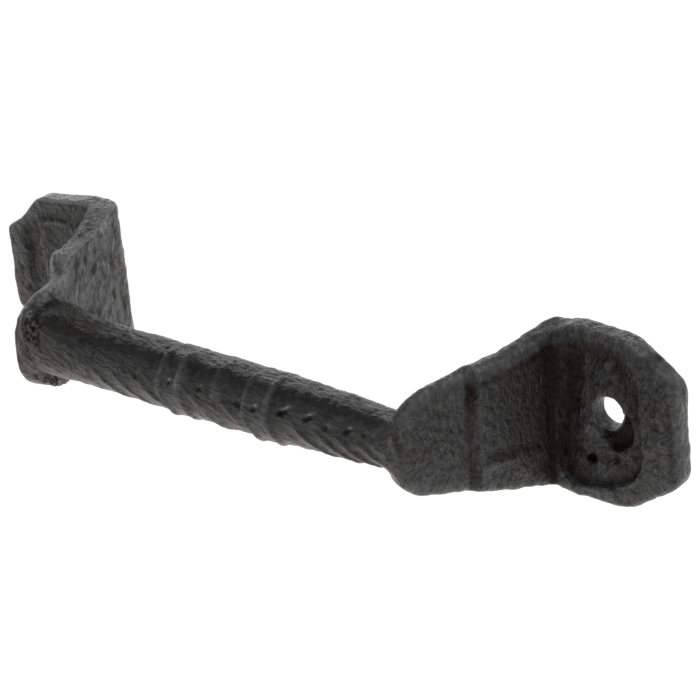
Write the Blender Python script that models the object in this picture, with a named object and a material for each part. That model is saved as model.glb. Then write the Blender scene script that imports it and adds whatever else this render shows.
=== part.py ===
"""Cast-iron bar pull handle, 156 mm long overall, with two screws 126 mm apart.

Frame: X runs along the grip bar, Y runs into the door and Z is up. The screw feet lie flat on the
plane y = 0 and the handle stands in front of it, at y < 0. The origin is midway between the feet.
Lengths are in metres. "End" is -1 for the left end (-X) and +1 for the right end (+X).
"""

import math

import bmesh
import bpy
from mathutils import Matrix, Vector

MM = 0.001

# Driving dimensions
SCREW_SPACING = 126 * MM
STRAP_WIDTH = 31 * MM
STRAP_THICKNESS = 4.6 * MM
FOOT_LENGTH = 24.9 * MM
LEG_FACE_X = 52.8 * MM
LEG_THICKNESS = {-1: 5.4 * MM, 1: 4.3 * MM}
BAR_RADIUS = 6.0 * MM
BAR_REACH = 27.4 * MM
LOBE_REACH = {-1: 32.2 * MM, 1: 31.5 * MM}
SCREW_HOLE_RADIUS = 3.0 * MM
SCREW_HOLE_HEIGHT = 1.0 * MM
JOINT_GAP = 0.3 * MM

# Leg: its outline narrows from the foot to the lobe. Distances run along the leg from the foot.
LEG_LEAN = {-1: math.radians(13.0), 1: math.radians(19.3)}
LEG_SHIFT = {-1: 0.9 * MM, 1: 0.0}
LOBE_INSET = {-1: 0.6 * MM, 1: 1.0 * MM}
JOINT_DISTANCE = 16.6 * MM
BEND_RADIUS = 2.0 * MM
HEEL_RADIUS = 2.5 * MM
LEG_TOP_AT_FOOT = 14.6 * MM
LEG_TOP_AT_MIDDLE = 12.1 * MM
LEG_TOP_AT_JOINT = 11.2 * MM
LEG_BOTTOM_AT_MIDDLE = 13.3 * MM
LEG_BOTTOM_AT_JOINT = 11.2 * MM

# Lobe: the rounded end of the leg that the bar runs into
LOBE_TIP_TOP = 7.5 * MM
LOBE_TIP_BOTTOM = {-1: 8.5 * MM, 1: 7.7 * MM}
LOBE_TOP_ROUND = 6.5 * MM
LOBE_BOTTOM_ROUND = 6.5 * MM
LOBE_STEP = 0.2 * MM

# Foot: clipped outer corners, and a slight cant of the left foot
CORNER_CUT_X = 9.8 * MM
CORNER_CUT_Z = 6.7 * MM
LEFT_FOOT_CANT = math.radians(-2.4)
LEFT_FOOT_RISE = 0.9 * MM

# Sunk panels inside the rims: shallow and square on the left foot, deep and D-shaped on the right
# one. Corners are (distance from the leg's face, height, corner radius), in millimetres.
PANEL_DEPTH = {-1: 0.6 * MM, 1: 2.0 * MM}
PANEL_CORNERS = {
    -1: ((2.8, 13.4, 1.5), (15.6, 12.6, 3.0), (19.6, 8.6, 3.0), (19.6, -12.0, 2.5), (2.8, -13.0, 1.5)),
    1: (
        (2.8, 12.8, 1.5), (14.2, 13.2, 3.5), (18.4, 1.0, 6.0),
        (18.4, -8.0, 5.0), (10.5, -13.2, 5.0), (2.8, -12.8, 1.5),
    ),
}

# Edges and resolution
EDGE_ROUND = 1.4 * MM
EDGE_SEGMENTS = 3
TIGHTEST_ROUND = 0.1 * MM
SHARP_ANGLE = math.radians(40)
ROUNDED_ANGLE = math.radians(28)
ARC_STEPS = 8
BAR_SIDES = 32
BAR_STEPS = 44
HOLE_SIDES = 24
CUTTER_REACH = 10 * MM

# Grip bar: collars are (centre, half width) along X
COLLARS = ((-7.1 * MM, 2.2 * MM), (12.6 * MM, 2.4 * MM))
COLLAR_HEIGHT = 0.3 * MM
COLLAR_SHARES = (-1.01, -0.7, 0.7, 1.01)
BAR_HEIGHT = 1.0 * MM
BAR_WAIST = {-1: 0.5 * MM, 1: 1.5 * MM}
BAR_WAIST_POWER = {-1: 4.0, 1: 2.2}
FLARE_LENGTH = {-1: 10.0 * MM, 1: 5.0 * MM}
FLARE_RISE = {-1: 1.5 * MM, 1: 0.8 * MM}
FLARE_POWER = 2.2

# Each piece's paint, a shade apart so that the pieces can be told from each other
PAINT_SHADES = {
    "left_foot": 0.022,
    "right_foot": 0.020,
    "left_end_lobe": 0.019,
    "right_end_lobe": 0.018,
    "grip_bar": 0.017,
}
PAINT_ROUGHNESS = 0.45


def clear_scene():
    """Remove every object, so that the script starts from nothing."""
    for old in list(bpy.data.objects):
        bpy.data.objects.remove(old, do_unlink=True)


def painted_iron(piece):
    """Satin black paint over cast iron, for one piece."""
    shade = PAINT_SHADES[piece]
    material = bpy.data.materials.new(f"{piece}_paint")
    material.use_nodes = True
    shader = material.node_tree.nodes["Principled BSDF"]
    shader.inputs["Base Color"].default_value = (shade, shade, shade, 1.0)
    shader.inputs["Roughness"].default_value = PAINT_ROUGHNESS
    return material


def new_object(name, mesh_builder, material=None):
    """Turn a bmesh into an object in the scene, with its faces pointing out."""
    bmesh.ops.recalc_face_normals(mesh_builder, faces=mesh_builder.faces)
    mesh = bpy.data.meshes.new(name)
    mesh_builder.to_mesh(mesh)
    mesh_builder.free()
    made = bpy.data.objects.new(name, mesh)
    bpy.context.scene.collection.objects.link(made)
    if material:
        mesh.materials.append(material)
    return made


def prism(points, low, high, place):
    """Extrude a flat outline between two levels. place(a, b, level) gives each corner's position."""
    builder = bmesh.new()
    lower = [builder.verts.new(place(a, b, low)) for a, b in points]
    upper = [builder.verts.new(place(a, b, high)) for a, b in points]
    builder.faces.new(lower)
    builder.faces.new(reversed(upper))
    for index in range(len(points)):
        after = (index + 1) % len(points)
        builder.faces.new((lower[index], lower[after], upper[after], upper[index]))
    return builder


def rounded(corner, before, after, radius):
    """Points of the arc that rounds a corner between its two neighbours."""
    corner = Vector(corner)
    back = (Vector(before) - corner).normalized()
    ahead = (Vector(after) - corner).normalized()
    half_angle = back.angle(ahead) / 2
    centre = corner + (back + ahead).normalized() * (radius / math.sin(half_angle))
    start = corner + back * (radius / math.tan(half_angle)) - centre
    end = corner + ahead * (radius / math.tan(half_angle)) - centre
    arc = []
    for step in range(ARC_STEPS + 1):
        direction = start.lerp(end, step / ARC_STEPS).normalized()
        arc.append(tuple(centre + direction * radius))
    return arc


def rounded_outline(corners):
    """Outline from (a, b, radius) corners, each one rounded where its radius isn't zero."""
    outline = []
    for index, (a, b, radius) in enumerate(corners):
        before = corners[index - 1][:2]
        after = corners[(index + 1) % len(corners)][:2]
        outline += rounded((a, b), before, after, radius) if radius else [(a, b)]
    return outline


def subtract(target, cutter):
    """Take a hidden cutter away from the target, exactly."""
    cutter.hide_render = True
    cutter.display_type = "WIRE"
    cutter.parent = target
    modifier = target.modifiers.new(cutter.name, "BOOLEAN")
    modifier.operation = "DIFFERENCE"
    modifier.solver = "EXACT"
    modifier.object = cutter


def round_edges(target, width):
    """Soften the edges the way sand casting does, and shade the result smooth."""
    modifier = target.modifiers.new("cast_edges", "BEVEL")
    modifier.width = width
    modifier.segments = EDGE_SEGMENTS
    modifier.limit_method = "ANGLE"
    modifier.angle_limit = ROUNDED_ANGLE
    modifier.use_clamp_overlap = True
    target.data.shade_smooth()


def leg_frame(end):
    """Start, direction and outward side of the leg's outer face, seen from above."""
    lean = LEG_LEAN[end]
    start = Vector((end * (LEG_FACE_X + LEG_SHIFT[end]), -STRAP_THICKNESS))
    along = Vector((-end * math.sin(lean), -math.cos(lean)))
    outward = Vector((end * math.cos(lean), -math.sin(lean)))
    return start, along, outward


def at_leg(end, distance, depth):
    """Plan position at a distance along the leg and a depth behind its outer face."""
    start, along, outward = leg_frame(end)
    return start + along * distance - outward * depth


def strap_section(front, back, top, bottom, inset):
    """One loop around the strap: a rectangle with round corners, drawn in by an inset.

    front is a plan position on the strap's front face, and back is the direction through it,
    as long as the strap is thick.
    """
    depth = back.length
    corner = max(EDGE_ROUND - inset, TIGHTEST_ROUND)
    centres = (
        (depth - inset - corner, top - inset - corner, 0),
        (inset + corner, top - inset - corner, 1),
        (inset + corner, bottom + inset + corner, 2),
        (depth - inset - corner, bottom + inset + corner, 3),
    )
    loop = []
    for across, height, quarter in centres:
        for step in range(EDGE_SEGMENTS + 1):
            angle = (quarter + step / EDGE_SEGMENTS) * math.pi / 2
            plan = front + back.normalized() * (across + corner * math.cos(angle))
            loop.append((plan.x, plan.y, height + corner * math.sin(angle)))
    return loop


def foot_top(from_tip):
    """Half width of the strap at a distance from the foot's tip, with the corner clipped."""
    share = min(1.0, from_tip / CORNER_CUT_X)
    return STRAP_WIDTH / 2 - CORNER_CUT_Z * (1 - share)


def foot_sections(end):
    """Loops from the foot's round tip to where the bend starts."""
    tip = end * (LEG_FACE_X + FOOT_LENGTH)
    back = Vector((0, STRAP_THICKNESS))
    sections = []
    for step in range(EDGE_SEGMENTS + 1):
        angle = step / EDGE_SEGMENTS * math.pi / 2
        from_tip = EDGE_ROUND * (1 - math.sin(angle))
        inset = EDGE_ROUND * (1 - math.cos(angle))
        half = foot_top(from_tip)
        front = Vector((tip - end * from_tip, -STRAP_THICKNESS))
        sections.insert(0, strap_section(front, back, half, -half, inset))
    for from_tip in (CORNER_CUT_X / 2, CORNER_CUT_X, FOOT_LENGTH * 0.7):
        half = foot_top(from_tip)
        front = Vector((tip - end * from_tip, -STRAP_THICKNESS))
        sections.append(strap_section(front, back, half, -half, 0))
    return sections


def heel_distance(flat_distance, from_middle, half_turn):
    """Distance from the bend's centre to the heel: two flats that meet in a tight round corner."""
    from_flat = half_turn - abs(from_middle)
    corner = (flat_distance - HEEL_RADIUS) / math.cos(half_turn)
    if flat_distance * math.tan(from_flat) <= corner * math.sin(half_turn):
        return flat_distance / math.cos(from_flat)
    sideways = corner * math.sin(from_middle)
    return corner * math.cos(from_middle) + math.sqrt(HEEL_RADIUS ** 2 - sideways ** 2)


def bend_sections(end):
    """Loops around the bend, from the foot's front face onto the leg's outer face."""
    corner, _, outward = leg_frame(end)
    across = (BEND_RADIUS + outward.y * BEND_RADIUS) / outward.x
    centre = corner + Vector((across, -BEND_RADIUS))
    half_turn = Vector((0, 1)).angle(-outward) / 2
    sections = []
    for step in range(ARC_STEPS + 1):
        share = step / ARC_STEPS
        through = Vector((0, 1)).slerp(-outward, share)
        thickness = STRAP_THICKNESS + (LEG_THICKNESS[end] - STRAP_THICKNESS) * share
        from_middle = (2 * share - 1) * half_turn
        heel = heel_distance(BEND_RADIUS + thickness, from_middle, half_turn)
        if through.y > 0:
            heel = min(heel, (BEND_RADIUS + STRAP_THICKNESS) / through.y)
        top = STRAP_WIDTH / 2 + (LEG_TOP_AT_FOOT - STRAP_WIDTH / 2) * share
        front = centre + through * BEND_RADIUS
        back = through * (heel - BEND_RADIUS)
        sections.append(strap_section(front, back, top, -top, 0))
    return sections


def leg_sections(end):
    """Loops along the leg, narrowing to its round end at the joint with the lobe."""
    _, _, outward = leg_frame(end)
    back = -outward * LEG_THICKNESS[end]
    middle = JOINT_DISTANCE / 2
    last = JOINT_DISTANCE - EDGE_ROUND
    sections = [
        strap_section(at_leg(end, middle, 0), back, LEG_TOP_AT_MIDDLE, -LEG_BOTTOM_AT_MIDDLE, 0)
    ]
    for step in range(EDGE_SEGMENTS + 1):
        angle = step / EDGE_SEGMENTS * math.pi / 2
        distance = last + EDGE_ROUND * math.sin(angle)
        inset = EDGE_ROUND * (1 - math.cos(angle))
        front = at_leg(end, distance, 0)
        sections.append(strap_section(front, back, LEG_TOP_AT_JOINT, -LEG_BOTTOM_AT_JOINT, inset))
    return sections


def loft(sections):
    """Skin a row of loops and close both ends."""
    builder = bmesh.new()
    loops = [[builder.verts.new(position) for position in section] for section in sections]
    for first, second in zip(loops, loops[1:]):
        for index in range(len(first)):
            after = (index + 1) % len(first)
            builder.faces.new((first[index], first[after], second[after], second[index]))
    builder.faces.new(loops[0])
    builder.faces.new(loops[-1])
    return builder


def panel_outline(end):
    """Outline of the foot's sunk panel, in x and z."""
    corners = []
    for from_leg, height, radius in PANEL_CORNERS[end]:
        corners.append((end * (LEG_FACE_X + from_leg * MM), height * MM, radius * MM))
    return rounded_outline(corners)


def screw_hole_cutter(end):
    """Round cutter through the foot, a little above its middle."""
    builder = bmesh.new()
    bmesh.ops.create_cone(
        builder,
        cap_ends=True,
        segments=HOLE_SIDES,
        radius1=SCREW_HOLE_RADIUS,
        radius2=SCREW_HOLE_RADIUS,
        depth=2 * CUTTER_REACH,
    )
    centre = Vector((end * SCREW_SPACING / 2, 0, SCREW_HOLE_HEIGHT))
    turn = Matrix.Rotation(math.pi / 2, 4, "X")
    bmesh.ops.transform(builder, matrix=Matrix.Translation(centre) @ turn, verts=builder.verts)
    return new_object(f"cut_hole_{end}", builder)


def build_foot(end, name):
    """Screw foot and leg, folded from one strap, with a sunk panel and a screw hole."""
    strap = loft(foot_sections(end) + bend_sections(end) + leg_sections(end))
    foot = new_object(name, strap, painted_iron(name))
    deep = -STRAP_THICKNESS + PANEL_DEPTH[end]
    panel = prism(panel_outline(end), deep, deep - CUTTER_REACH, lambda a, b, t: (a, t, b))
    subtract(foot, new_object(f"cut_panel_{end}", panel))
    subtract(foot, screw_hole_cutter(end))
    foot.data.shade_smooth()
    foot.data.set_sharp_from_angle(angle=SHARP_ANGLE)
    return foot


def cant_left_foot(foot):
    """Turn the left foot a few degrees in the plane of the door, about the lobe it grows from."""
    pivot = Vector((at_leg(-1, BAR_REACH, 0).x, 0, 0))
    turn = Matrix.Rotation(LEFT_FOOT_CANT, 4, "Y")
    rise = Vector((0, 0, LEFT_FOOT_RISE))
    foot.matrix_world = Matrix.Translation(pivot + rise) @ turn @ Matrix.Translation(-pivot)


def lobe_outline(end):
    """Lobe outline as (distance along the leg, height)."""
    start = JOINT_DISTANCE + JOINT_GAP
    return rounded_outline([
        (start, LEG_TOP_AT_JOINT - LOBE_STEP, 0),
        (LOBE_REACH[end], LOBE_TIP_TOP, LOBE_TOP_ROUND),
        (LOBE_REACH[end], -LOBE_TIP_BOTTOM[end], LOBE_BOTTOM_ROUND),
        (start, -LEG_BOTTOM_AT_JOINT + LOBE_STEP, 0),
    ])


def build_lobe(end, name):
    """Rounded end lobe, set in a little from the leg's outer face."""
    def place(distance, height, depth):
        plan = at_leg(end, distance, depth)
        return (plan.x, plan.y, height)

    builder = prism(lobe_outline(end), LOBE_INSET[end], LEG_THICKNESS[end], place)
    lobe = new_object(name, builder, painted_iron(name))
    round_edges(lobe, EDGE_ROUND)
    return lobe


def bar_radius(x):
    """Radius of the grip bar: slim near the lobes, fuller in the middle, with collars and flares."""
    end = 1 if x > 0 else -1
    half = abs(at_leg(end, BAR_REACH, LEG_THICKNESS[end]).x)
    ratio = abs(x) / half
    radius = BAR_RADIUS - BAR_WAIST[end] * ratio ** BAR_WAIST_POWER[end]
    for centre, reach in COLLARS:
        across = abs(x - centre) / reach
        if across < 1:
            radius += COLLAR_HEIGHT * min(1.0, 3 * (1 - across))
    into_flare = (abs(x) - (half - FLARE_LENGTH[end])) / FLARE_LENGTH[end]
    if into_flare > 0:
        radius += FLARE_RISE[end] * into_flare ** FLARE_POWER
    return radius


def bar_stations():
    """Places along X where the bar's profile has a point: close together at collars and flares."""
    reach = abs(at_leg(-1, BAR_REACH, LEG_THICKNESS[-1]).x) + 4 * MM
    stations = [-reach + 2 * reach * step / BAR_STEPS for step in range(BAR_STEPS + 1)]
    for centre, half_width in COLLARS:
        for share in COLLAR_SHARES:
            stations.append(centre + share * half_width)
    return sorted(stations)


def build_bar(name):
    """Grip bar: a turned profile, cut at each end along the inner face of its leaning lobe."""
    builder = bmesh.new()
    rings = []
    for x in bar_stations():
        ring = []
        for side in range(BAR_SIDES):
            angle = 2 * math.pi * side / BAR_SIDES
            radius = bar_radius(x)
            y = bar_axis_y() + radius * math.cos(angle)
            z = BAR_HEIGHT + radius * math.sin(angle)
            ring.append(builder.verts.new((x, y, z)))
        rings.append(ring)
    for left, right in zip(rings, rings[1:]):
        for side in range(BAR_SIDES):
            after = (side + 1) % BAR_SIDES
            builder.faces.new((left[side], right[side], right[after], left[after]))
    builder.faces.new(rings[0])
    builder.faces.new(reversed(rings[-1]))
    for end in (-1, 1):
        _, _, outward = leg_frame(end)
        face = at_leg(end, BAR_REACH, LEG_THICKNESS[end] + JOINT_GAP)
        cut = bmesh.ops.bisect_plane(
            builder,
            geom=builder.verts[:] + builder.edges[:] + builder.faces[:],
            plane_co=(face.x, face.y, 0),
            plane_no=(outward.x, outward.y, 0),
            clear_outer=True,
        )
        rim = [item for item in cut["geom_cut"] if isinstance(item, bmesh.types.BMEdge)]
        bmesh.ops.contextual_create(builder, geom=rim)
    bar = new_object(name, builder, painted_iron(name))
    bar.data.shade_smooth()
    bar.data.set_sharp_from_angle(angle=SHARP_ANGLE)
    return bar


def bar_axis_y():
    """Distance of the bar's axis in front of the door, as a Y value."""
    return at_leg(1, BAR_REACH, LEG_THICKNESS[1] / 2).y


def main():
    """Build the five pieces of the handle."""
    clear_scene()
    build_foot(-1, "left_foot")
    cant_left_foot(bpy.data.objects["left_foot"])
    build_foot(1, "right_foot")
    build_lobe(-1, "left_end_lobe")
    build_lobe(1, "right_end_lobe")
    build_bar("grip_bar")


main()
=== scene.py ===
"""Looks of the cast-iron bar pull handle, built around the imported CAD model.

The handle is sculpted as one continuous signed-distance field, because the real thing is one sand
casting, and then cut at the CAD model's joints into its five pieces. Frame as in the CAD: X along
the bar, Y into the door, Z up. The field works in millimetres, and the meshes are in metres.
"End" is -1 for the left end (-X) and +1 for the right end (+X). Near the right end "x" runs
outward, and the left end is worked out in the same mirrored coordinates.
"""

import math

import bmesh
import bpy
import numpy as np
from mathutils import Matrix, Vector


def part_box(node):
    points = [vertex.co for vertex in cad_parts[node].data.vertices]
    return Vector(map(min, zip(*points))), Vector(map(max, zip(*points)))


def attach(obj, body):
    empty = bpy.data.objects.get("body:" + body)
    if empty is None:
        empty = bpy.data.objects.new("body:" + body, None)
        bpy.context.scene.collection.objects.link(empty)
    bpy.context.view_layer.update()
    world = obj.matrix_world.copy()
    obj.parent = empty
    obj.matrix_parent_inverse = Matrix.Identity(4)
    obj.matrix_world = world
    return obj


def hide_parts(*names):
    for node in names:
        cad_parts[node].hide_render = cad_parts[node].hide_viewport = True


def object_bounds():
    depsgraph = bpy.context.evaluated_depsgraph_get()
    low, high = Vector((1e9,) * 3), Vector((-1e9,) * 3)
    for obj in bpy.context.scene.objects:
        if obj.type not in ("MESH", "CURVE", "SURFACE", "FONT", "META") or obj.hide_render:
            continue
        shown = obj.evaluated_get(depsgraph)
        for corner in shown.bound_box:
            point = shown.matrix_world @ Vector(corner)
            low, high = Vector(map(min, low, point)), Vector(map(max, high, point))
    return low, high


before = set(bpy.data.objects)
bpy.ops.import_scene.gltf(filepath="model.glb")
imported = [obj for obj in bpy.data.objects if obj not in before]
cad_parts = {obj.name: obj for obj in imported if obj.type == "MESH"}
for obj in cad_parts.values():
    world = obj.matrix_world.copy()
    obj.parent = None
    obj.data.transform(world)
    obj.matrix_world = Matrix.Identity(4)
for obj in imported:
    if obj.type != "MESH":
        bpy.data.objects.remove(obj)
cad_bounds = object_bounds()

MM = 0.001
NAMES = {-1: ("left_foot", "left_end_lobe"), 1: ("right_foot", "right_end_lobe")}


def box_mm(node):
    """Lowest and highest corners of a CAD node, in millimetres."""
    low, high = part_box(node)
    return np.array(low) / MM, np.array(high) / MM


RIGHT_FOOT_BOX = box_mm("right_foot")
BAR_BOX = box_mm("grip_bar")

# Size of the field's cells, and how far the grid reaches past the CAD model, in millimetres
VOXEL = 0.33
MARGIN = 1.5

# Foot: strap thickness, length from the leg's outer face to the tip, half width, clipped corners
STRAP = 4.6
FOOT_LENGTH = 24.9
TIP = RIGHT_FOOT_BOX[1][0]
FACE_X = TIP - FOOT_LENGTH
HALF_WIDTH = RIGHT_FOOT_BOX[1][2]
CORNER_CUT = (9.8, 6.7)

# Leg and lobe: thickness, lean, shift outwards, and distances along the leg to joint and lobe end
LEG_THICK = {-1: 5.4, 1: 4.3}
LEG_LEAN = {-1: math.radians(13.0), 1: math.radians(19.3)}
LEG_SHIFT = {-1: 0.9, 1: 0.0}
JOINT = 16.6
REACH = {-1: 31.7, 1: 31.5}

# Edge radii: outside of the bend, inside of it, strap edges, lobe outline
HEEL_ROUND = 2.6
BEND_ROUND = 0.7
EDGE = {-1: 0.9, 1: 1.2}
TIP_ROUND = 6.5

# The left foot is turned about Y through a pivot, and raised
LEFT_CANT = math.radians(-2.4)
LEFT_RISE = 0.9
LEFT_PIVOT = 47.5

# Screw hole: place in x and z on the right foot, drop on the left foot, and radius
HOLE = (63.3, 0.85)
LEFT_HOLE_DROP = 0.2
HOLE_RADIUS = 2.8

# Bar: place of its axis along the right leg, then in Z and Y; its radius; half its tapered length
BAR_REACH = 27.4
BAR_Z = (BAR_BOX[0][2] + BAR_BOX[1][2]) / 2
BAR_Y = -STRAP - BAR_REACH * math.cos(LEG_LEAN[1]) + LEG_THICK[1] / 2 * math.sin(LEG_LEAN[1])
BAR_RADIUS = 6.0
BAR_HALF = 43

# Distances from the middle within which the bar, and beyond which the straps, are worked out
BAR_WITHIN = 47.5
STRAPS_BEYOND = 30

# Corners of the right foot's sunk panel, in x and z
RIGHT_RIM = ((54.4, -13), (62.9, -13.4), (70.6, -8.4), (70.8, 1), (66.6, 13.2), (54.4, 13))

# Lump beside the right screw hole, and the small pits below it, in x and z
LUMP = (59.7, -2.7)
PIT = (59.5, -8.7)
SHALLOW_PIT = (57.2, -7.4)

# Marks on the foot faces: (depth below the face, place, half widths, turn in degrees)
RIGHT_MARKS = (
    (0.35, (76.0, 1), (0.45, 7), 4),
    (-1.0, LUMP, (1.6, 1.2), 25),
    (0.35, (60.2, -2.0), (0.35, 0.9), 30),
    (0.6, SHALLOW_PIT, (1.0, 0.8), 0),
    (-0.55, (62.4, -10.3), (3.0, 1.5), 20),
    (-0.35, (67.4, -6.3), (1.2, 2.2), 10),
    (0.5, (65.0, -7.2), (0.45, 1.6), 12),
    (0.4, (69.2, 4.6), (0.5, 3.0), -8),
    (-0.45, (56.6, 11.0), (1.2, 0.6), -15),
    (-0.4, (63.2, 9.6), (0.5, 0.9), 10),
)
LEFT_MARKS = (
    (0.5, (71.6, 3.0), (0.9, 3.2), 0),
    (0.4, (74.2, -0.6), (0.6, 0.6), 0),
    (0.45, (73.4, -4.6), (0.7, 0.6), 0),
)

# Painted shade on the right foot's face (positive) and painted highlights (negative), laid out the
# same way
RIGHT_SHADE_AND_GLINTS = (
    (1.6, PIT, (1.2, 1.0), 0),
    (0.5, SHALLOW_PIT, (1.0, 0.8), 0),
    (0.6, (65.0, -7.2), (0.5, 1.6), 12),
    (0.5, (69.2, 4.6), (0.6, 3.2), -8),
    (1.1, (76.0, 1.5), (0.4, 7), 4),
    (0.5, (73.5, 4.6), (1.4, 1.2), 0),
    (-1.0, LUMP, (1.4, 1.1), 25),
    (-0.9, (56.6, 11.0), (1.0, 0.5), -15),
    (-0.8, (63.2, 9.6), (0.5, 0.8), 10),
    (-0.5, (59.0, 4.5), (1.3, 1.0), 0),
    (-0.5, (67.6, 10.4), (2.0, 0.5), -35),
    (-0.6, (62.4, -10.0), (3.0, 1.5), 20),
    (-0.7, (60.2, -5.6), (2.0, 1.2), 10),
)

# Painted shade on the right leg's outer face (positive) and painted highlights (negative), placed
# by distance along the leg and by height
LEG_SHADE_AND_HIGHLIGHTS = (
    (1.2, (30.4, 3.0), (0.6, 3.6), -8),
    (-0.8, (31.4, 3.4), (0.4, 4.0), -8),
    (-0.7, (10.5, -7.0), (5.0, 0.5), 5),
    (-0.6, (6.5, -9.6), (4.5, 0.5), 5),
)


def smooth(value, low, high):
    """Smooth step from 0 at low to 1 at high; low may be the larger one."""
    share = np.clip((value - low) / (high - low), 0, 1)
    return share * share * (3 - 2 * share)


def both(a, b, radius):
    """Intersection of two fields with a round edge."""
    corner = np.hypot(np.maximum(a + radius, 0), np.maximum(b + radius, 0))
    return np.minimum(np.maximum(a, b), -radius) + corner


def either(a, b, radius):
    """Union of two fields with a round fillet."""
    return -both(-a, -b, radius)


def convex(a, b, corners, radius):
    """Field of a convex outline with round corners, its corners given anticlockwise."""
    field = None
    for index, (a0, b0) in enumerate(corners):
        a1, b1 = corners[(index + 1) % len(corners)]
        length = math.hypot(a1 - a0, b1 - b0)
        side = ((a - a0) * (b1 - b0) - (b - b0) * (a1 - a0)) / length
        field = side if field is None else both(field, side, radius)
    return field


def spot(a, b, centre, size, turn=0.0):
    """Round hill of height 1 at a centre, with two half widths and a turn in degrees."""
    cos, sin = math.cos(math.radians(turn)), math.sin(math.radians(turn))
    da, db = a - centre[0], b - centre[1]
    along, across = da * cos + db * sin, db * cos - da * sin
    return np.exp(-((along / size[0]) ** 2) - (across / size[1]) ** 2)


def marks(a, b, table):
    """Sum of the spots in a table of strength, place, half widths and turn."""
    return sum(strength * spot(a, b, place, size, turn) for strength, place, size, turn in table)


def line(value, width):
    """Soft line of height 1 where a value is 0."""
    return np.exp(-((value / width) ** 2))


def wobble(a, b):
    """Gentle hand-made unevenness of a line, in millimetres."""
    return 0.3 * np.sin(0.8 * b + 1.1 * np.sin(0.5 * a)) + 0.2 * np.sin(1.9 * b + 0.7 * a + 2)


def lattice_noise(points, size, seed):
    """Gradient noise with features of a size, about -1 to 1, at an (n, 3) array of points."""
    random = np.random.default_rng(seed)
    order = random.permutation(256)
    order = np.concatenate([order, order, order])
    gradients = random.normal(size=(256, 3))
    gradients /= np.linalg.norm(gradients, axis=1)[:, None]
    scaled = points / size
    cell = np.floor(scaled).astype(np.int64)
    inside = scaled - cell
    fade = inside ** 3 * (inside * (inside * 6 - 15) + 10)
    cell &= 255
    total = np.zeros(len(points))
    for corner in range(8):
        step = np.array([corner & 1, corner >> 1 & 1, corner >> 2 & 1])
        x, y, z = ((cell + step) & 255).T
        gradient = gradients[order[order[order[x] + y] + z]]
        weight = np.prod(np.where(step, fade, 1 - fade), axis=1)
        total += weight * np.einsum("ij,ij->i", gradient, inside - step)
    return total * 1.6


def leg_coordinates(end, x, y):
    """Distance along the leg from the foot, and height above its outer face."""
    dx, dy = x - (FACE_X + LEG_SHIFT[end]), y + STRAP
    sin, cos = math.sin(LEG_LEAN[end]), math.cos(LEG_LEAN[end])
    return -dx * sin - dy * cos, dx * cos - dy * sin


def right_panel(x, z):
    """Depth of the right foot's front face below its rim."""
    x, z = x + 0.4 * wobble(x, z), z + 0.4 * wobble(z, x)
    rim = convex(x, z, RIGHT_RIM, 3)
    soft = smooth(z, -2, 4)
    depth = (1.5 + 0.5 * soft) * smooth(rim, 0.6 + 1.2 * soft, -1.5 - 1.5 * soft)
    depth += 0.45 * smooth(np.abs(rim + 0.3), 0.9, 0.2) * smooth(z, -1, -4)
    depth += 1.0 * smooth(x, 75.7, 77.8)
    pad = convex(x, z, ((57.4, -2), (68.0, -2), (68.0, 10.8), (57.4, 10.8)), 1.2)
    depth -= 0.3 * smooth(pad, 1.6, -1.6)
    depth += 0.4 * smooth(from_bend(x, z, 55.8), 2.2, 0.2) * smooth(np.abs(z), 12, 8.5)
    depth += 1.1 * crescent(x, z)
    depth += 1.3 * smooth(spot(x, z, PIT, (1.1, 0.95)), 0.25, 0.75)
    return depth + marks(x, z, RIGHT_MARKS)


def from_bend(x, z, place):
    """Distance from the upright channel beside the right foot's bend."""
    return np.abs(x - place - 0.11 * (z + 2))


def crescent(x, z):
    """Hollow beside the right foot's screw hole, below and to the right of it, from 0 to 1."""
    from_hole = np.hypot(x - HOLE[0], z - HOLE[1])
    from_middle = np.hypot(x - HOLE[0] - 0.6, z - HOLE[1] + 2.5)
    beside = smooth(x + 0.6 * z, 59.3, 61.3)
    return smooth(from_middle, 4.5, 3.7) * beside * smooth(from_hole, 3.0, 3.6)


def right_foot_shade_and_glints(x, z):
    """Painted shade on the right foot's front face, brown-black, in the crease, the channel, under
    the rim, in the crescent and the pits; negative for painted highlights on the lump, specks and
    the tip's edge.
    """
    rim = convex(x, z, RIGHT_RIM, 3)
    shade_and_glints = (line(x - 53.2, 0.8) - 0.4 * line(x - 54.6, 0.6)) * smooth(z, 14.2, 12.5)
    channel = smooth(from_bend(x, z, 55.6), 1.7, 0.5)
    shade_and_glints += 0.9 * channel * smooth(z, -11, -8) * smooth(z, 14.5, 11)
    shade_and_glints += 0.55 * smooth(np.abs(rim + 1), 3.0, 0.8) * smooth(z, 1, 6)
    shade_and_glints += 0.5 * smooth(np.abs(rim + 0.4), 0.9, 0.2) * smooth(z, 0, -4)
    shade_and_glints += 2.4 * crescent(x, z)
    shade_and_glints -= 0.5 * smooth(x, 76.4, 77.2)
    return shade_and_glints + marks(x, z, RIGHT_SHADE_AND_GLINTS)


def left_panel(x, z):
    """Depth of the left foot's front face: a flat pad with a channel beside it."""
    x, z = x + 0.7 * wobble(x, z), z + 0.7 * wobble(z, x)
    bevel = 0.6 * np.clip((z - 14.5) / 1.2, 0, 1)
    channel = convex(x, z, ((67.0, -11), (72.4, -11), (72.4, 8.5), (70, 10.5), (67.0, 11)), 1.5)
    depth = bevel + 0.55 * smooth(channel, 0.6, -1.4)
    pad = convex(x, z, ((56.5, -11), (67.6, -11), (67.6, 11), (56.5, 11)), 1.0)
    depth -= (0.4 + 0.4 * smooth(x, 64, 68)) * smooth(pad, 0.5, -0.5)
    return depth + marks(x, z, LEFT_MARKS)


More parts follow.
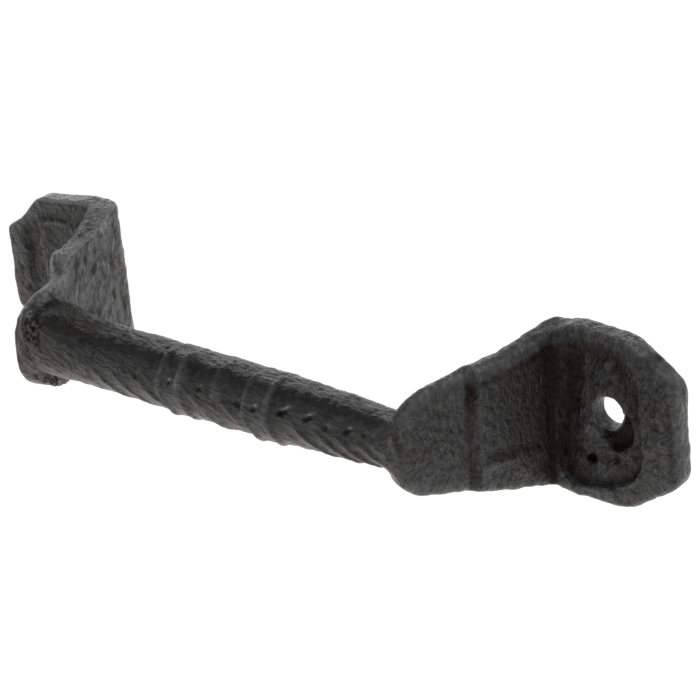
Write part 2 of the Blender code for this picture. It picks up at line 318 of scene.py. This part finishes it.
def leg_relief(end, along, z):
    """How far the leg's outer face lies below its plane."""
    along = along + 0.7 * wobble(along, z)
    if end > 0:
        lowered = 0.9 * smooth(along, JOINT - 0.9, JOINT + 0.5)
        lowered += 0.9 * groove(along, z)
        lowered += 0.5 * spot(along, z, (31.0, 3.0), (0.7, 3.6), -8)
        lowered -= 0.4 * spot(along, z, (10.0, -7.2), (5.5, 0.7), 5)
        lowered += 0.35 * spot(along, z, (9.0, -5.4), (6.0, 0.8), 5)
    else:
        lowered = 2.0 * smooth(along, JOINT - 2.6, JOINT + 3.2)
        lowered -= 1.3 * smooth(along, 20, 30) * (1 - 0.3 * smooth(z, -4, 2))
        lowered -= 0.5 * spot(along, z, (14.4, 12.5), (1.1, 4.0))
    below_top = outline_top(end, along) - z
    return lowered + 1.3 * np.clip(1 - below_top / 2.3, 0, 1) * smooth(along, -1, 5)


def groove(along, z):
    """Groove between the right leg and its lobe, deepest at its ends, from 0 to 1."""
    ends = smooth(z, 1, 7) + 0.6 * smooth(z, -4, -9)
    return smooth(np.abs(along - JOINT + 0.8), 1.3, 0.4) * (0.45 + 0.55 * np.minimum(ends, 1))


def outline_top(end, along):
    """Top edge of the leg and lobe, as a height along the leg."""
    if end > 0:
        stations = (-4, 0, 8.3, 15.6, 17.4, 24, REACH[end])
        heights = (15.5, 13.9, 11.7, 11.1, 10.7, 9.6, 7.4)
    else:
        stations = (-4, 0, 8.3, 13.5, 15.2, 18.2, 24, REACH[end])
        heights = (15.8, 15.2, 12.6, 11.9, 11.6, 10.1, 9.4, 7.5)
    return np.interp(along, stations, heights)


def strap_field(end, x, y, z):
    """Signed distance to the foot, leg and lobe of one end, as one bent strap."""
    x, y, z = np.broadcast_arrays(x, y, z)
    if end < 0:
        canted = smooth(y, -23.5, -18.5)
        sin, cos = math.sin(LEFT_CANT), math.cos(LEFT_CANT)
        dx, dz = x - LEFT_PIVOT, z - LEFT_RISE
        turned_x = LEFT_PIVOT + dx * cos + dz * sin
        turned_z = dz * cos - dx * sin
        x = x + (turned_x - x) * canted
        z = z + (turned_z - z) * canted
        panel = left_panel(x, z)
        hole_height = HOLE[1] - LEFT_HOLE_DROP
    else:
        panel = right_panel(x, z)
        hole_height = HOLE[1]
    along, above = leg_coordinates(end, x, y)
    thick = LEG_THICK[end]
    if end < 0:
        thick = thick + 0.6 * smooth(along, 14, 2) + 1.5 * smooth(z, -2, -9) * smooth(along, 19, 25)
    outer = both(y, -above - thick, HEEL_ROUND)
    inner = either(-(y + STRAP) + panel, above + leg_relief(end, along, z), BEND_ROUND)
    plan = np.maximum(outer, inner)
    cut_x, cut_z = CORNER_CUT
    top = HALF_WIDTH + 0.35
    near_tip = smooth(x, TIP - 6, TIP - 1)
    if end < 0:
        foot_x = x + near_tip * (0.5 - 0.35 * smooth(z, 4, -4))
        foot_z = z + 0.8 * smooth(x, 52, 66) * smooth(z, 0, 8)
    else:
        foot_x = x - 0.4 * near_tip * (smooth(z, 0, -4) - 0.4)
        foot_z = z - 0.45 * smooth(x, 66, 55) * smooth(z, 0, 8)
    low, far = -HALF_WIDTH - 0.3, TIP - 60
    corners = (
        (far, low), (TIP - cut_x, low), (TIP, -HALF_WIDTH + cut_z),
        (TIP, top - cut_z), (TIP - cut_x, top), (far, top),
    )
    foot = convex(foot_x, foot_z, corners, 1.6)
    if end < 0:
        upper_cut = (foot_x - 67.5 + foot_z - top) * 0.71
        lower_cut = (foot_x - 72) * 0.46 + (foot_z - 11.3) * 0.89
        foot = both(foot, either(upper_cut, lower_cut, 0.4), 0.8)
    lobe_bottom = 8.2 if end < 0 else 7.7
    bottom = np.interp(along, (0, 8.3, JOINT, REACH[end]), (15.1, 13.3, 11.2, lobe_bottom))
    leg = both(z - outline_top(end, along), along - REACH[end], TIP_ROUND)
    leg = both(leg, -z - bottom, TIP_ROUND)
    in_bend = smooth(y, -4.6, -7.0) * smooth(above, 4.5, 2.0)
    on_leg = np.maximum(smooth(above, 3.5, -0.5), in_bend)
    outline = foot * (1 - on_leg) + leg * on_leg
    strap = both(plan, outline, EDGE[end])
    hole = HOLE_RADIUS - np.hypot(x - HOLE[0], z - hole_height)
    return both(strap, hole, 0.25)


def bar_field(x, y, z):
    """Signed distance to the grip bar, its ends flaring into the lobes."""
    ratio = np.abs(x) / BAR_HALF
    radius = BAR_RADIUS - np.where(x < 0, 0.5 * ratio ** 4, 1.5 * ratio ** 2.2)
    left = smooth(-x, 29.0, 40.0)
    right = smooth(x, 38.0, 44.0)
    away, up = np.abs(y - BAR_Y), z - BAR_Z
    up = np.abs(up) / (1 + left * np.where(up > 0, 0.3, 0.06) + 0.16 * right)
    power = 2 + 0.6 * left
    round_part = (away ** power + up ** power) ** (1 / power) - radius
    crown = z - BAR_Z - (radius - 0.3) * (1 + 0.3 * left + 0.16 * right)
    return both(round_part, crown, 0.5)


def handle_field(x, y, z):
    """Signed distance to the whole handle on an open grid of x, y and z."""
    shape = np.broadcast_shapes(x.shape, y.shape, z.shape)
    total = np.full(shape, 10.0, dtype=np.float32)
    middle = np.abs(x[:, 0, 0]) < BAR_WITHIN
    bar = np.full(shape, 10.0, dtype=np.float32)
    bar[middle] = bar_field(x[middle], y, z)
    for end in (-1, 1):
        part = end * x[:, 0, 0] > STRAPS_BEYOND
        strap = strap_field(end, end * x[part], y, z)
        _, above = leg_coordinates(end, end * x[part], y)
        inside_lobe = both(bar[part], above + LEG_THICK[end] / 2, 0.5)
        total[part] = either(strap, inside_lobe, 1.2 if end < 0 else 1.0)
    centre = np.abs(x[:, 0, 0]) <= STRAPS_BEYOND
    total[centre] = bar[centre]
    return total


CORNERS = [(i, j, k) for i in (0, 1) for j in (0, 1) for k in (0, 1)]


def surface(field, origin, step):
    """Surface nets: one vertex in each cell that the surface crosses, and quads between them."""
    shape = np.array(field.shape) - 1
    inside = field < 0
    count = np.zeros(shape, dtype=np.int8)
    for i, j, k in CORNERS:
        count += inside[i:i + shape[0], j:j + shape[1], k:k + shape[2]]
    cells = np.argwhere((count > 0) & (count < 8))
    values = {}
    for corner in CORNERS:
        at = cells + corner
        values[corner] = field[at[:, 0], at[:, 1], at[:, 2]]
    summed = np.zeros((len(cells), 3))
    crossings = np.zeros(len(cells))
    for axis in range(3):
        for corner in CORNERS:
            if corner[axis]:
                continue
            far = tuple(1 if index == axis else value for index, value in enumerate(corner))
            a, b = values[corner], values[far]
            crossed = (a < 0) != (b < 0)
            share = np.where(crossed, a / np.where(crossed, a - b, 1), 0)
            point = np.repeat([corner], len(cells), axis=0).astype(float)
            point[:, axis] = share
            summed += np.where(crossed[:, None], point, 0)
            crossings += crossed
    vertices = origin + step * (cells + summed / crossings[:, None])
    number = np.full(shape, -1, dtype=np.int32)
    number[tuple(cells.T)] = np.arange(len(cells))
    quads = []
    for axis in range(3):
        near = [slice(1, -1)] * 3
        far = [slice(1, -1)] * 3
        near[axis], far[axis] = slice(0, -1), slice(1, None)
        starts, ends = inside[tuple(near)], inside[tuple(far)]
        one, two = (axis + 1) % 3, (axis + 2) % 3
        for mask, order in ((starts & ~ends, 1), (~starts & ends, -1)):
            at = np.argwhere(mask) + 1
            at[:, axis] -= 1
            ring = []
            for back_one, back_two in ((1, 1), (0, 1), (0, 0), (1, 0)):
                cell = at.copy()
                cell[:, one] -= back_one
                cell[:, two] -= back_two
                ring.append(number[tuple(cell.T)])
            quads.append(np.stack(ring[::order], axis=1))
    return vertices, np.concatenate(quads)


def vertex_normals(vertices, quads):
    """Unit normal at each vertex, from the quads round it."""
    corner = vertices[quads]
    face = np.cross(corner[:, 2] - corner[:, 0], corner[:, 3] - corner[:, 1])
    normals = np.zeros_like(vertices)
    for index in range(4):
        np.add.at(normals, quads[:, index], face)
    return normals / np.linalg.norm(normals, axis=1)[:, None]


# Hammered relief of the bar: both edges of each collar, and the ridges' places along the bar
RINGS = ((-9.3, -4.9), (10.2, 15.0))
TWIST_RIDGES = (-26.0, -20.5, -14.2, 21.0, 25.8, 30.0, 34.4, 38.0)
BAND_RIDGES = (-2.0, 6.0)
# Punch marks: place along the bar, bearing, length and depth
DENTS = (
    (-6.8, 17, 0.9, 0.6), (0.1, 21, 0.8, 0.5), (8.9, 16, 0.7, 0.5), (12.8, 16, 1.0, 0.6),
    (18.8, 24, 1.5, 1.1), (24.0, 25, 1.3, 0.8), (28.0, 17, 0.9, 0.5), (32.4, 23, 1.1, 0.7),
    (35.8, 23, 0.6, 0.4), (-14.6, 12, 0.7, 0.4),
)


def bar_bearing(y, z):
    """Direction from the bar's axis in degrees: 0 faces away from the door, 90 is up."""
    return np.degrees(np.arctan2(z - BAR_Z, BAR_Y - y))


def bar_relief(x, bearing, fine):
    """Height of the bar's rings, ridges and punch marks, and the painted highlights on their
    crests, edges and the marks' rims, with painted shade in the marks.
    """
    down = np.clip(8 - bearing, 0, 60)
    height = np.zeros(len(x))
    glint_and_shade = np.zeros(len(x))
    for low, high in RINGS:
        bowed = 1.6 * smooth(bearing, 5, -45)
        clear = 0.3 + 0.7 * smooth(bearing, 100, 60) * smooth(bearing, -110, -60)
        off = x - bowed
        collar = smooth(off, low - 0.5, low + 0.4) * smooth(off, high + 0.5, high - 0.4)
        height += clear * 0.25 * collar
        for edge in (low, high):
            edge_line = clear * line(off - edge - 0.1, 0.5)
            height += 0.3 * edge_line
            # Painted highlight along each collar edge
            glint_and_shade += 0.7 * edge_line
    lower = smooth(bearing, 14, -8) * smooth(bearing, -85, -40)
    for place in TWIST_RIDGES:
        off = x - (place + 0.125 * down)
        width = np.where(off < 0, 1.5, 0.45)
        strength = 0.34 if place > 0 else 0.2
        ridge = (0.12 + 0.88 * lower) * line(off, width)
        height += strength * ridge
        # Painted highlight on the ridge's top
        glint_and_shade += 1.2 * strength * ridge ** 2
    for place in BAND_RIDGES:
        off = x - (place - 2.8 * smooth(bearing, 4, 18) + 0.1 * down)
        width = np.where(off < 0, 0.5, 1.6)
        ridge = smooth(bearing, -110, -60) * smooth(bearing, 120, 70) * line(off, width)
        height += 0.28 * ridge
        # Painted highlight on the band ridge, fading towards the bar's top
        glint_and_shade += 0.5 * ridge ** 2 * smooth(bearing, 60, 10)
    for place, turn, length, depth in DENTS:
        arc = np.radians(bearing - turn) * BAR_RADIUS
        dent = smooth(spot(x, arc, (place, 0), (0.8 * length, 0.5), 35) + 0.35 * fine, 0.3, 0.7)
        # Painted glint along each mark's rim, and painted shade inside the mark
        glint = spot(x, arc, (place + 0.3, 0.65), (0.8 * length, 0.3), 35)
        height -= 0.55 * depth * dent
        glint_and_shade += 3.0 * depth * glint - 0.2 * dent
    return height, glint_and_shade


def relief(points, normals):
    """Fine height and broad height in millimetres, and painted light and shade, of the surface at
    each point.
    """
    x, y, z = points.T
    broad = 0.12 * lattice_noise(points, 6.5, 1) + 0.12 * lattice_noise(points, 2.6, 2)
    fine = lattice_noise(points, 1.15, 3)
    pits = lattice_noise(points * [1, 1, 0.5], 1.5, 4)
    height = 0.085 * fine - 0.12 * smooth(pits, 0.42, 0.75)

    # Bar: painted highlights and shade from its relief, its top painted darker and the rest painted
    # a little lighter
    on_bar = smooth(np.abs(x), 41, 38) * smooth(np.hypot(y - BAR_Y, z - BAR_Z), 8.5, 7.5)
    bearing = bar_bearing(y, z)
    bar_height, glint_and_shade = bar_relief(x, bearing, fine)
    height += on_bar * bar_height
    topmost = smooth(bearing, 35, 60) * smooth(bearing, 120, 95)
    relief_light_and_shade = on_bar * (0.2 * glint_and_shade + 0.045 - 0.12 * topmost)

    # The right foot's panel and the lump beside its hole are rougher
    front = smooth(-y, 1.0, 1.6)
    panel = smooth(x, 54, 56) * smooth(x, 71, 69) * front * smooth(np.abs(z), 13, 11)
    height += panel * (0.1 * lattice_noise(points, 1.7, 6) + 0.06 * fine)
    lump = spot(x, z, LUMP, (1.8, 1.4), 25) * front
    height += 0.3 * lump * np.abs(lattice_noise(points, 1.5, 8))

    # The inner faces of the legs are left coarse and streaked
    for end in (-1, 1):
        along, above = leg_coordinates(end, end * x, y)
        back = -LEG_THICK[end]
        coarse = smooth(above, back + 0.9, back + 0.2) * smooth(-end * normals[:, 0], 0.5, 0.8)
        coarse *= smooth(along, -1, 3) * smooth(end * x, 20, 30)
        grain = lattice_noise(points * [1, 1, 0.5], 0.95, 5)
        height += coarse * (0.18 * grain - 0.12 * smooth(pits, 0.25, 0.6))

        # Pitted ring round the bar's root, at the left end only
        ring = np.hypot(along - 28.0, z - BAR_Z + 1.2)
        rooted = smooth(ring, 8.8, 7.8) * smooth(ring, 5.2, 6.2) * smooth(along, 19.5, 22.5)
        rooted *= (end < 0) * smooth(np.abs(above - back + 0.6), 2.6, 1.4)
        crumbs = lattice_noise(points, 0.8, 7)
        height -= rooted * 0.3 * smooth(crumbs, 0.0, 0.35)
        # Painted glints on the ring's raised crumbs, and painted shade over the rest of the ring
        relief_light_and_shade += rooted * (0.27 * smooth(crumbs, -0.1, -0.4) - 0.06)
    return height, broad, relief_light_and_shade


def blurred(values, reach):
    """Mean of a grid over the cells within a reach, twice along each axis."""
    for axis in (0, 1, 2, 0, 1, 2):
        around = [(reach + 1, reach) if index == axis else (0, 0) for index in range(3)]
        total = np.cumsum(np.pad(values, around, mode="edge"), axis=axis, dtype=np.float32)
        total = np.moveaxis(total, axis, 0)
        mean = (total[2 * reach + 1:] - total[:-2 * reach - 1]) / (2 * reach + 1)
        values = np.moveaxis(mean, 0, axis)
    return values


def corner_shade(field, places, height):
    """Painted shade at places in grid cells, from how concave the surface is: 0 on an edge, 0.5
    flat, 1 in a corner, with low places darker and raised ones lighter.
    """
    solid = np.clip(0.5 - field / VOXEL, 0, 1).astype(np.float32)
    filled = blurred(solid, 4)
    filled = 0.55 * filled + 0.45 * blurred(filled, 9)
    cell = np.floor(places).astype(int)
    share = places - cell
    value = np.zeros(len(places))
    for corner in CORNERS:
        at = cell + corner
        weight = np.prod(np.where(corner, share, 1 - share), axis=1)
        value += weight * filled[at[:, 0], at[:, 1], at[:, 2]]
    return value - 0.6 * np.clip(height, -0.35, 0.12)


def painted_light_and_dust(points, normals):
    """How much lighter each point is painted, for painted highlights and dust, negative for painted
    shade.
    """
    x, y, z = points.T
    right, left = smooth(x, 30, 34), smooth(-x, 30, 34)

    # Front faces of the feet: painted shade and highlights on the right foot, a painted highlight
    # along the top edge of the left pad, and the left face painted a little lighter
    facing = smooth(-normals[:, 1], -0.1, 0.3) * smooth(y, -7.0, -5.2)
    painted_tone = -0.13 * facing * right * right_foot_shade_and_glints(x, z) * smooth(x, 50, 51.5)
    pad_highlight = line(z - 10.9 + 0.19 * (-x - 62), 0.4)
    pad_highlight *= smooth(-x, 56.5, 58) * smooth(-x, 68, 66.5)
    painted_tone += facing * left * (0.25 * pad_highlight + 0.05)

    # Outer face of the right leg: painted shade in the crease, in the groove and below the top
    # edge, painted highlights beside the lobe's groove and along the low ridges, and the top strip
    # and the rest a little lighter
    along, above = leg_coordinates(1, x, y)
    outside = right * smooth(above, -3.0, -2.0) * smooth(normals[:, 0], 0.2, 0.6)
    below_top = outline_top(1, along) - z
    leg_shade = 0.7 * line(along, 0.8) + 1.0 * line(along, 8.0) + 1.1 * groove(along, z)
    leg_shade += marks(along, z, LEG_SHADE_AND_HIGHLIGHTS) + 0.9 * line(below_top - 2.7, 0.6) * smooth(along, 18, 15)
    leg_shade = leg_shade * smooth(below_top, 1.7, 2.4) - 0.35 + 0.2 * smooth(along, 18, 21)
    painted_tone -= 0.2 * outside * leg_shade

    # Front of the left lobe is darker
    painted_tone -= 0.08 * smooth(-x, 40, 43) * smooth(-y, 18, 22) * smooth(-normals[:, 1], -0.2, 0.3)

    # Coarse inner faces of the legs, lighter with dust and painted light, and the strap's
    # upward-facing top edges with a painted highlight
    for end, inner_dust_and_light, top_light in ((-1, 0.24, 0.32), (1, 0.15, 0.14)):
        along, above = leg_coordinates(end, end * x, y)
        back = -LEG_THICK[end]
        inner = smooth(above, back + 0.9, back) * smooth(-end * normals[:, 0], 0.5, 0.8)
        inner *= smooth(along, -1, 3) * (1 - 0.4 * smooth(along, 20, 23)) * smooth(end * x, 20, 30)
        strap = smooth(above, back - 1, back) * smooth(end * x, 30, 36)
        painted_tone += inner_dust_and_light * inner + top_light * strap * smooth(normals[:, 2], 0.35, 0.8)
    return painted_tone


def sculpt():
    """Mesh of the whole handle: vertices in millimetres, quads, and the painted shade, painted
    highlights and dust at each vertex.
    """
    low = np.array([cad_bounds[0][axis] for axis in range(3)]) / MM - MARGIN
    high = np.array([cad_bounds[1][axis] for axis in range(3)]) / MM + MARGIN
    ranges = [
        np.arange(low[axis], high[axis] + VOXEL, VOXEL, dtype=np.float32) for axis in range(3)
    ]
    x = ranges[0][:, None, None]
    y = ranges[1][None, :, None]
    z = ranges[2][None, None, :]
    field = handle_field(x, y, z)
    origin = np.array([values[0] for values in ranges])
    vertices, quads = surface(field, origin, VOXEL)
    normals = vertex_normals(vertices, quads)
    height, broad, relief_light_and_shade = relief(vertices, normals)
    from_hole = np.hypot(np.abs(vertices[:, 0]) - HOLE[0], vertices[:, 2] - HOLE[1])
    in_bore = from_hole < HOLE_RADIUS + 0.5
    flat_back = smooth(vertices[:, 1], -0.6, 0.0) * (normals[:, 1] > 0.7)
    # Painted shade from how concave the surface is, lightened by painted highlights and dust; the
    # bore is painted a little lighter
    shade_and_wear = corner_shade(field, (vertices - origin) / VOXEL, height)
    shade_and_wear = shade_and_wear - painted_light_and_dust(vertices, normals) - relief_light_and_shade - 0.1 * in_bore
    moved = (height + broad) * (1 - in_bore) * (1 - flat_back)
    vertices = vertices + normals * moved[:, None]
    return vertices, quads, shade_and_wear


def mesh_builder(vertices, quads, shade_and_wear):
    """A bmesh from arrays, in metres."""
    mesh = bpy.data.meshes.new("sculpted")
    mesh.from_pydata((vertices * MM).tolist(), [], quads.tolist())
    attribute = mesh.attributes.new("shade_and_wear", "FLOAT", "POINT")
    attribute.data.foreach_set("value", shade_and_wear.astype(np.float32))
    builder = bmesh.new()
    builder.from_mesh(mesh)
    bpy.data.meshes.remove(mesh)
    return builder


def cut_away(builder, point, normal):
    """Keep the part behind a plane and close the cut."""
    bmesh.ops.bisect_plane(
        builder,
        geom=builder.verts[:] + builder.edges[:] + builder.faces[:],
        plane_co=point,
        plane_no=normal,
        clear_outer=True,
    )
    rim = [edge for edge in builder.edges if edge.is_boundary]
    bmesh.ops.holes_fill(builder, edges=rim, sides=0)


def add_piece(name, builder, node, material):
    """Turn a bmesh into a piece that stands for its CAD node."""
    mesh = bpy.data.meshes.new(name)
    builder.to_mesh(mesh)
    builder.free()
    mesh.shade_smooth()
    mesh.set_sharp_from_angle(angle=math.radians(60))
    mesh.materials.append(material)
    piece = bpy.data.objects.new(name, mesh)
    bpy.context.scene.collection.objects.link(piece)
    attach(piece, "root")
    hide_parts(node)


def joint_planes(end):
    """Point and direction of the leg's joint and of the lobe's inner face, in metres."""
    sin, cos = math.sin(LEG_LEAN[end]), math.cos(LEG_LEAN[end])
    start = Vector((end * (FACE_X + LEG_SHIFT[end]), -STRAP, 0)) * MM
    along = Vector((-end * sin, -cos, 0))
    outward = Vector((end * cos, -sin, 0))
    joint = start + along * JOINT * MM
    face = start - outward * LEG_THICK[end] * MM
    return joint, along, face, outward


# How far the casting's grain is drawn out along each axis, and the noise's place in its fourth axis
UPRIGHT = (1, 1, 2)
ALONG = (2.4, 1, 1)
NOISE_PLACE = 3.0

# Colours from painted highlights and dust, through black paint, to brown-black painted shade with
# brown dust in corners
COLOURS = (
    (0.00, (0.320, 0.315, 0.310)),
    (0.13, (0.130, 0.128, 0.130)),
    (0.30, (0.052, 0.050, 0.050)),
    (0.45, (0.0155, 0.0142, 0.0140)),
    (0.60, (0.0165, 0.0112, 0.0080)),
    (0.78, (0.0090, 0.0058, 0.0038)),
)

# Weight of the paint's clear coat along the same scale, falling in the shaded corners as painted
# shade on the reflection
COAT_WEIGHTS = ((0.40, 0.8), (0.52, 0.66), (0.68, 0.08))


def cast_iron(name, grain, stretch, turn=0, coat=1.0):
    """Satin black paint over sand-cast iron with a fine mottle, grain and small pits; colour and
    coat follow the painted corner shade, painted highlights on edges and tops, and dust.
    """
    material = bpy.data.materials.new(name)
    material.use_nodes = True
    nodes, links = material.node_tree.nodes, material.node_tree.links
    shader = nodes["Principled BSDF"]
    where = nodes.new("ShaderNodeTexCoord")
    streaked = nodes.new("ShaderNodeMapping")
    streaked.vector_type = "TEXTURE"
    streaked.inputs["Rotation"].default_value = (0, math.radians(turn), 0)
    streaked.inputs["Scale"].default_value = stretch
    links.new(where.outputs["Object"], streaked.inputs["Vector"])

    def noise(scale, detail, rough=0.55):
        texture = nodes.new("ShaderNodeTexNoise")
        texture.noise_dimensions = "4D"
        texture.inputs["W"].default_value = NOISE_PLACE
        texture.inputs["Scale"].default_value = scale
        texture.inputs["Detail"].default_value = detail
        texture.inputs["Roughness"].default_value = rough
        links.new(streaked.outputs["Vector"], texture.inputs["Vector"])
        return texture.outputs["Fac"]

    def grey(stops):
        return [(position, (value,) * 3) for position, value in stops]

    def ramp(source, stops):
        made = nodes.new("ShaderNodeValToRGB")
        made.color_ramp.elements[0].position = stops[0][0]
        made.color_ramp.elements[0].color = (*stops[0][1], 1)
        made.color_ramp.elements[1].position = stops[-1][0]
        made.color_ramp.elements[1].color = (*stops[-1][1], 1)
        for position, color in stops[1:-1]:
            made.color_ramp.elements.new(position).color = (*color, 1)
        links.new(source, made.inputs["Fac"])
        return made.outputs["Color"]

    def maths(operation, first, second):
        made = nodes.new("ShaderNodeMath")
        made.operation = operation
        for socket, value in zip(made.inputs, (first, second)):
            if isinstance(value, float):
                socket.default_value = value
            else:
                links.new(value, socket)
        return made.outputs["Value"]

    # Vertex attribute of painted corner shade, painted highlights and dust, with a fine mottle
    # added
    depth = nodes.new("ShaderNodeAttribute")
    depth.attribute_name = "shade_and_wear"
    speckle = maths("MULTIPLY", maths("SUBTRACT", noise(900, 5, 0.7), 0.5), 0.62 * grain)
    shade_and_mottle = maths("ADD", depth.outputs["Fac"], speckle)
    links.new(ramp(shade_and_mottle, COLOURS), shader.inputs["Base Color"])
    gloss = ramp(noise(420, 5), grey(((0.3, 0.22), (0.7, 0.40))))
    dull = maths("MULTIPLY", maths("SUBTRACT", depth.outputs["Fac"], 0.55), 0.9)
    links.new(maths("ADD", gloss, maths("MAXIMUM", dull, 0.0)), shader.inputs["Roughness"])
    # Coat weight falls where the painted corner shade lies, taking reflection away as painted shade
    weights = [(position, weight * coat) for position, weight in COAT_WEIGHTS]
    links.new(ramp(shade_and_mottle, grey(weights)), shader.inputs["Coat Weight"])
    shader.inputs["Coat Roughness"].default_value = 0.27
    shader.inputs["Specular IOR Level"].default_value = 0.15

    fine = noise(2600, 4, 0.65)
    medium = noise(1150, 3)
    pits = nodes.new("ShaderNodeTexVoronoi")
    pits.inputs["Scale"].default_value = 620
    links.new(where.outputs["Object"], pits.inputs["Vector"])
    pitted = ramp(pits.outputs["Distance"], grey(((0.05, 0), (0.32, 1))))

    normal = None
    bumps = ((fine, 0.8, 0.00065 * grain), (medium, 0.8, 0.0013 * grain), (pitted, 0.35, 0.00012))
    for source, strength, distance in bumps:
        bump = nodes.new("ShaderNodeBump")
        bump.inputs["Strength"].default_value = strength
        bump.inputs["Distance"].default_value = distance
        links.new(source, bump.inputs["Height"])
        if normal is not None:
            links.new(normal, bump.inputs["Normal"])
        normal = bump.outputs["Normal"]
    links.new(normal, shader.inputs["Normal"])
    links.new(normal, shader.inputs["Coat Normal"])
    return material


def build_handle():
    """Sculpt the handle and cut it into the five pieces of the CAD model."""
    whole = mesh_builder(*sculpt())
    rest = whole.copy()
    for end in (-1, 1):
        joint, along, face, outward = joint_planes(end)
        foot_name, lobe_name = NAMES[end]
        foot = whole.copy()
        cut_away(foot, joint, along)
        foot_iron = cast_iron(f"{foot_name}_iron", 1.15, UPRIGHT)
        add_piece(f"{foot_name}_casting", foot, foot_name, foot_iron)
        cut_away(rest, joint, -along)
        lobe = rest.copy()
        cut_away(lobe, face, -outward)
        lobe_iron = cast_iron(f"{lobe_name}_iron", 1.0, UPRIGHT)
        add_piece(f"{lobe_name}_casting", lobe, lobe_name, lobe_iron)
        cut_away(rest, face, outward)
    bar_iron = cast_iron("grip_bar_iron", 0.85, ALONG, turn=15, coat=0.75)
    add_piece("grip_bar_casting", rest, "grip_bar", bar_iron)
    whole.free()


# Floor: half its side, and its distance below the handle, in metres
FLOOR_HALF = 6
FLOOR_DROP = 0.12

# Colour of both soft boxes
COOL_WHITE = (0.97, 0.985, 1)


def build_floor():
    """Plain pale floor, softly glowing, a little below the handle."""
    builder = bmesh.new()
    bmesh.ops.create_grid(builder, x_segments=1, y_segments=1, size=FLOOR_HALF)
    mesh = bpy.data.meshes.new("floor")
    builder.to_mesh(mesh)
    builder.free()
    paper = bpy.data.materials.new("floor_paper")
    paper.use_nodes = True
    shader = paper.node_tree.nodes["Principled BSDF"]
    shader.inputs["Base Color"].default_value = (0.9, 0.9, 0.9, 1)
    shader.inputs["Roughness"].default_value = 0.9
    shader.inputs["Specular IOR Level"].default_value = 0.2
    shader.inputs["Emission Color"].default_value = (1, 0.97, 0.95, 1)
    shader.inputs["Emission Strength"].default_value = 0.64
    mesh.materials.append(paper)
    floor = bpy.data.objects.new("floor", mesh)
    floor.location.z = cad_bounds[0][2] - FLOOR_DROP
    bpy.context.scene.collection.objects.link(floor)


def area_light(name, place, aim, size, power):
    """Soft box at a place, turned to shine at a point."""
    light = bpy.data.lights.new(name, "AREA")
    light.shape = "RECTANGLE"
    light.size, light.size_y = size
    light.energy = power
    light.color = COOL_WHITE
    lamp = bpy.data.objects.new(name, light)
    lamp.location = place
    lamp.rotation_euler = (Vector(aim) - Vector(place)).to_track_quat("-Z", "Y").to_euler()
    bpy.context.scene.collection.objects.link(lamp)


def build_light():
    """Dim white surroundings, with soft boxes above and low behind at the left."""
    world = bpy.data.worlds.new("studio")
    world.use_nodes = True
    background = world.node_tree.nodes["Background"]
    background.inputs["Color"].default_value = (1, 1, 1, 1)
    background.inputs["Strength"].default_value = 0.2
    scene = bpy.context.scene
    scene.world = world
    area_light("top_box", (0.5, 0.25, 1.0), aim=(0.05, 0, 0), size=(1.1, 1.0), power=5.5)
    area_light("back_box", (-0.85, 1.1, 0.25), aim=(0, 0, 0), size=(1.5, 0.5), power=3.5)
    scene.view_settings.view_transform = "Standard"
    scene.view_settings.look = "None"


# Camera: place in metres, its own axes as unit vectors, and focal length and sensor in millimetres
CAMERA_PLACE = (0.28590, -0.33144, 0.19521)
CAMERA_RIGHT = (0.78013, 0.62224, -0.06499)
CAMERA_UP = (-0.21234, 0.36107, 0.90804)
CAMERA_BACK = (0.58848, -0.69458, 0.41381)
CAMERA_LENS = 135.04
CAMERA_SENSOR = 36


def build_camera():
    """The photograph's viewpoint: beyond the right end, in front and above, slightly rolled."""
    camera = bpy.data.cameras.new("camera")
    camera.lens = CAMERA_LENS
    camera.sensor_width = CAMERA_SENSOR
    camera.clip_start = 0.01
    viewer = bpy.data.objects.new("camera", camera)
    turn = Matrix((CAMERA_RIGHT, CAMERA_UP, CAMERA_BACK)).transposed().to_4x4()
    viewer.matrix_world = Matrix.Translation(CAMERA_PLACE) @ turn
    bpy.context.scene.collection.objects.link(viewer)
    bpy.context.scene.camera = viewer


build_handle()
build_floor()
build_light()
build_camera()
